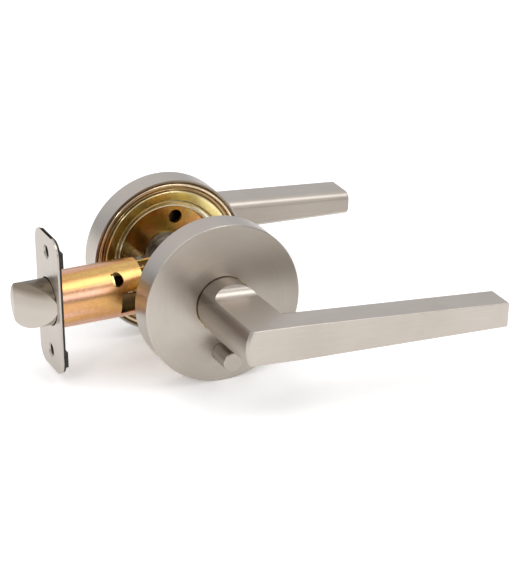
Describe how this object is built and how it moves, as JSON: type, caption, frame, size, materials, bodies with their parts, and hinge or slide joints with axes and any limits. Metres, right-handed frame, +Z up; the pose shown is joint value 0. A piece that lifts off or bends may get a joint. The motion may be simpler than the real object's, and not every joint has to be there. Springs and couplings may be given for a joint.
{
  "type": "door lever handle",
  "caption": "Privacy lever set for an interior door: flat levers on round roses, spring latch with faceplate, and a push pin that locks from inside.",
  "frame": {"origin": "on the spindle axis, half way through the door", "axes": "+Y along the spindle from the inside trim to the outside trim, -X towards the door's edge and the latch, +Z up"},
  "size_m": [0.1755, 0.1531, 0.0654],
  "materials": {
    "satin_nickel": "satin brushed nickel",
    "nickel_bolt": "polished nickel over brass",
    "yellow_zinc": "yellow chromate zinc on steel, iridescent",
    "bright_zinc": "clear zinc",
    "spring_steel": "drawn wire",
    "black_steel": "black oxide"
  },
  "bodies": {
    "root": {"inside_rose": "satin_nickel", "inside_mounting_plate": "yellow_zinc", "inside_hub_sleeve": "yellow_zinc", "inside_return_spring": "spring_steel", "outside_rose": "satin_nickel", "outside_mounting_plate": "yellow_zinc", "outside_hub_sleeve": "yellow_zinc", "outside_return_spring": "spring_steel", "through_bolts": "bright_zinc", "mounting_posts": "bright_zinc", "lock_housing": "yellow_zinc", "push_pin_spring": "spring_steel", "latch_faceplate": "satin_nickel", "latch_backplate": "black_steel", "latch_case": "yellow_zinc", "latch_rear_frame": "yellow_zinc", "latch_spring_seat": "yellow_zinc", "bolt_spring": "spring_steel"},
    "inside_lever_body": {"inside_lever": "satin_nickel", "inside_drive_plate": "yellow_zinc", "inside_retaining_ring": "spring_steel", "inside_set_screw": "black_steel"},
    "outside_lever_body": {"outside_lever": "satin_nickel", "outside_drive_plate": "yellow_zinc", "outside_retaining_ring": "spring_steel", "outside_set_screw": "black_steel"},
    "spindle_body": {"spindle": "bright_zinc", "latch_cam": "yellow_zinc"},
    "bolt_body": {"latch_bolt": "nickel_bolt", "bolt_tail": "yellow_zinc"},
    "push_pin_body": {"push_pin": "satin_nickel", "push_pin_clip": "spring_steel", "locking_rod": "bright_zinc"}
  },
  "joints": [
    {"name": "inside_lever_turn", "type": "hinge", "parent": "root", "child": "inside_lever_body", "pos_m": [0, 0, 0], "axis": [0, 1, 0], "range_deg": [0, 60], "stiffness_Nm_per_rad": 0.6, "springref_deg": -20.05, "deforming": ["inside_return_spring"]},
    {"name": "outside_lever_turn", "type": "hinge", "parent": "root", "child": "outside_lever_body", "pos_m": [0, 0, 0], "axis": [0, 1, 0], "range_deg": [0, 60], "stiffness_Nm_per_rad": 0.6, "springref_deg": -20.05, "deforming": ["outside_return_spring"]},
    {"name": "spindle_turn", "type": "hinge", "parent": "root", "child": "spindle_body", "pos_m": [0, 0, 0], "axis": [0, 1, 0], "range_deg": [0, 60]},
    {"name": "bolt_slide", "type": "slide", "parent": "root", "child": "bolt_body", "axis": [1, 0, 0], "range_m": [0, 0.0122], "stiffness_N_per_m": 200, "springref_m": -0.01, "deforming": ["bolt_spring"]},
    {"name": "push_pin_slide", "type": "slide", "parent": "root", "child": "push_pin_body", "axis": [0, 1, 0], "range_m": [0, 0.004], "stiffness_N_per_m": 400, "springref_m": -0.004, "deforming": ["push_pin_spring"]}
  ],
  "couplings": [
    {"joint": "outside_lever_turn", "follows": "inside_lever_turn", "ratio": 1},
    {"joint": "spindle_turn", "follows": "inside_lever_turn", "ratio": 1},
    {"joint": "bolt_slide", "follows": "inside_lever_turn", "m_per_rad": 0.01165}
  ]
}
